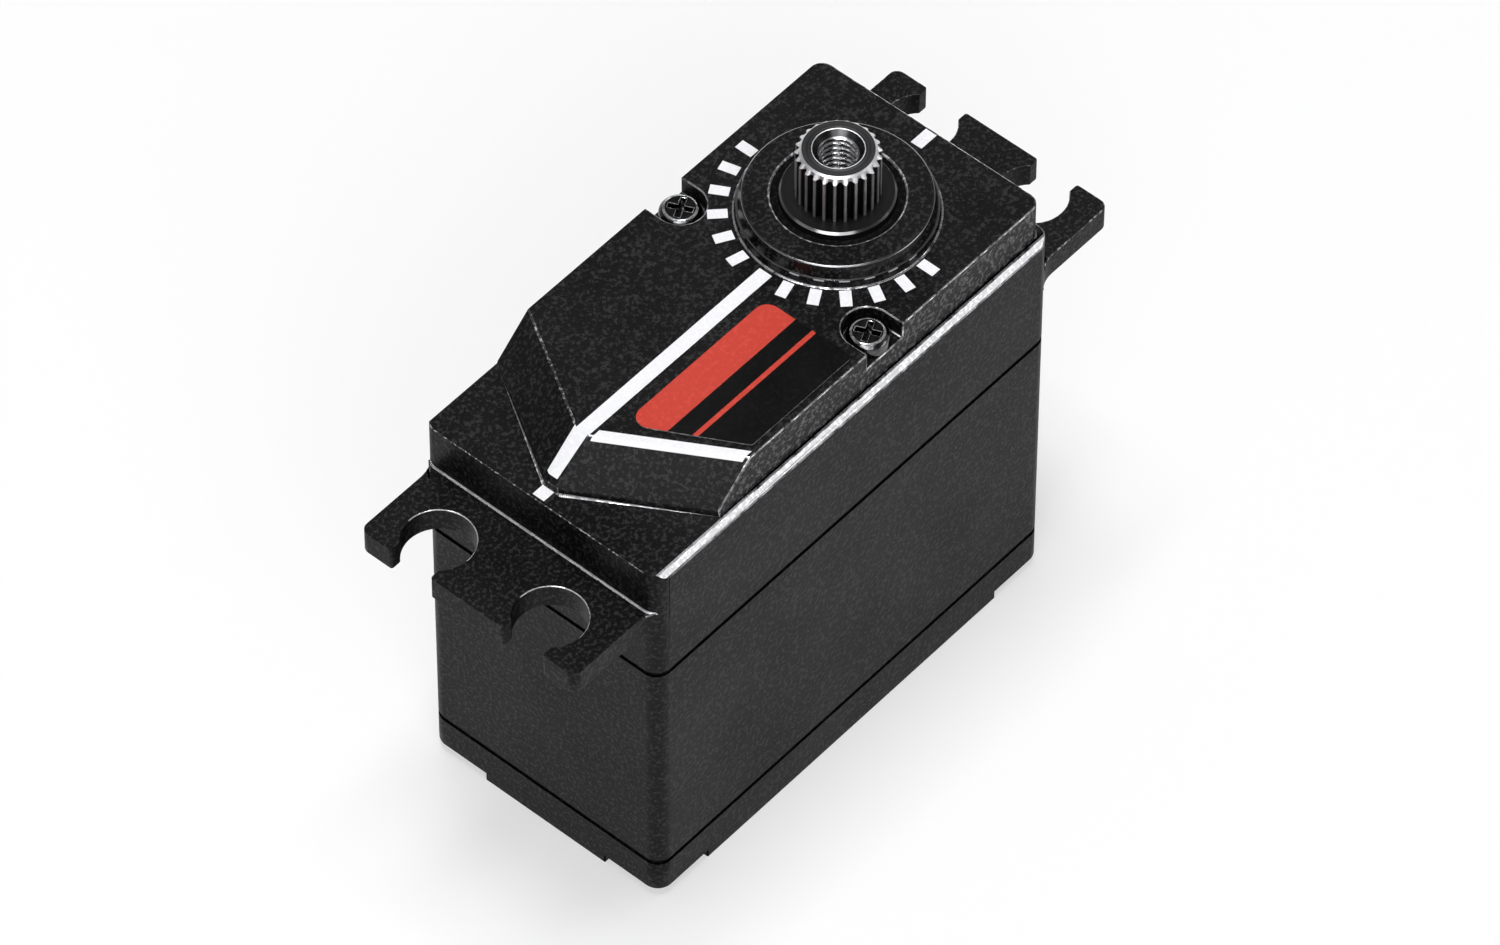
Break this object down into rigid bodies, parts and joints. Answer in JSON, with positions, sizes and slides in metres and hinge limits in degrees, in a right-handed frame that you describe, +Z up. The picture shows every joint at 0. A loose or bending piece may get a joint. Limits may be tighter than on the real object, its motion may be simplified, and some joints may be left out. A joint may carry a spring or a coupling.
{
  "type": "hobby servo motor",
  "caption": "Standard-size hobby servo: aluminium case with slotted mounting flanges, splined output shaft that turns through half a turn, and a motor with a spur gear train inside.",
  "frame": {"origin": "centre of the case's underside, midway between the two flange ends", "axes": "+X along the case towards the end with the output shaft, +Y across the case, +Z up, along the output shaft and out of its spline"},
  "size_m": [0.055, 0.021, 0.0441],
  "materials": {
    "case_black": "satin black anodised, fine grain",
    "seal_rubber": "matt",
    "screw_steel": "blackened",
    "label_film": "printed film",
    "shaft_steel": "dark, machined",
    "gear_steel": "hobbed",
    "gear_aluminium": "machined",
    "gear_brass": "machined",
    "bearing_steel": "ground",
    "motor_steel": "plated",
    "magnet": "plated",
    "coil_copper": "enamelled copper",
    "cap_plastic": "moulded",
    "board": "glass-fibre board with solder mask",
    "wire": "insulated"
  },
  "bodies": {
    "case": {"upper_case": "case_black", "middle_case": "case_black", "bottom_cover": "case_black", "upper_gasket": "seal_rubber", "lower_gasket": "seal_rubber", "case_screws": "screw_steel", "top_screws": "screw_steel", "top_label": "label_film", "lead_grommet": "seal_rubber", "shaft_seal": "seal_rubber", "upper_bearing_outer_ring": "bearing_steel", "lower_bearing_outer_ring": "bearing_steel", "gear_pin": "gear_steel", "gear_washers": "gear_brass", "motor_can": "motor_steel", "motor_front_cap": "gear_aluminium", "motor_rear_cap": "cap_plastic", "motor_bearings": "bearing_steel", "motor_screws": "screw_steel", "stator_core": "motor_steel", "stator_coils": "coil_copper", "motor_leads": "wire", "circuit_board": "board", "board_chips": "cap_plastic", "sensor_board": "board", "sensor_chip": "cap_plastic", "sensor_screws": "screw_steel", "sensor_lead": "wire"},
    "output": {"output_shaft": "shaft_steel", "output_gear": "gear_steel", "shaft_spacer": "gear_brass", "upper_bearing_inner_ring": "bearing_steel", "lower_bearing_inner_ring": "bearing_steel", "sensor_magnet": "magnet"},
    "first_gear": {"first_gear_wheel": "gear_aluminium", "first_gear_pinion": "gear_steel"},
    "second_gear": {"second_gear_wheel": "gear_steel", "second_gear_pinion": "gear_steel"},
    "third_gear": {"third_gear_wheel": "gear_steel", "third_gear_pinion": "gear_steel"},
    "rotor": {"rotor_shaft": "gear_steel", "rotor_magnet": "magnet", "motor_pinion": "gear_brass"},
    "upper_ball_ring": {"upper_bearing_balls": "bearing_steel"},
    "lower_ball_ring": {"lower_bearing_balls": "bearing_steel"}
  },
  "joints": [
    {"name": "rotor_spin", "type": "hinge", "parent": "case", "child": "rotor", "pos_m": [-0.00815, 0, 0], "axis": [0, 0, 1], "range_deg": [-9136.8, 9136.8]},
    {"name": "output_turn", "type": "hinge", "parent": "case", "child": "output", "pos_m": [0.0101, 0, 0], "axis": [0, 0, 1], "range_deg": [-90, 90]},
    {"name": "first_gear_spin", "type": "hinge", "parent": "case", "child": "first_gear", "pos_m": [0.0001, 0, 0], "axis": [0, 0, 1], "range_deg": [-1788.13, 1788.13]},
    {"name": "second_gear_spin", "type": "hinge", "parent": "case", "child": "second_gear", "pos_m": [0.0101, 0, 0], "axis": [0, 0, 1], "range_deg": [-504.7, 504.7]},
    {"name": "third_gear_spin", "type": "hinge", "parent": "case", "child": "third_gear", "pos_m": [0.0001, 0, 0], "axis": [0, 0, 1], "range_deg": [-237.77, 237.77]},
    {"name": "upper_balls_roll", "type": "hinge", "parent": "case", "child": "upper_ball_ring", "pos_m": [0.0101, 0, 0], "axis": [0, 0, 1], "range_deg": [-40.1, 40.1]},
    {"name": "lower_balls_roll", "type": "hinge", "parent": "case", "child": "lower_ball_ring", "pos_m": [0.0101, 0, 0], "axis": [0, 0, 1], "range_deg": [-39.28, 39.28]}
  ],
  "couplings": [
    {"joint": "output_turn", "follows": "rotor_spin", "ratio": 0.0098503},
    {"joint": "first_gear_spin", "follows": "rotor_spin", "ratio": -0.19565},
    {"joint": "second_gear_spin", "follows": "rotor_spin", "ratio": 0.055184},
    {"joint": "third_gear_spin", "follows": "rotor_spin", "ratio": -0.025969},
    {"joint": "upper_balls_roll", "follows": "rotor_spin", "ratio": 0.0043341},
    {"joint": "lower_balls_roll", "follows": "rotor_spin", "ratio": 0.0042446}
  ]
}
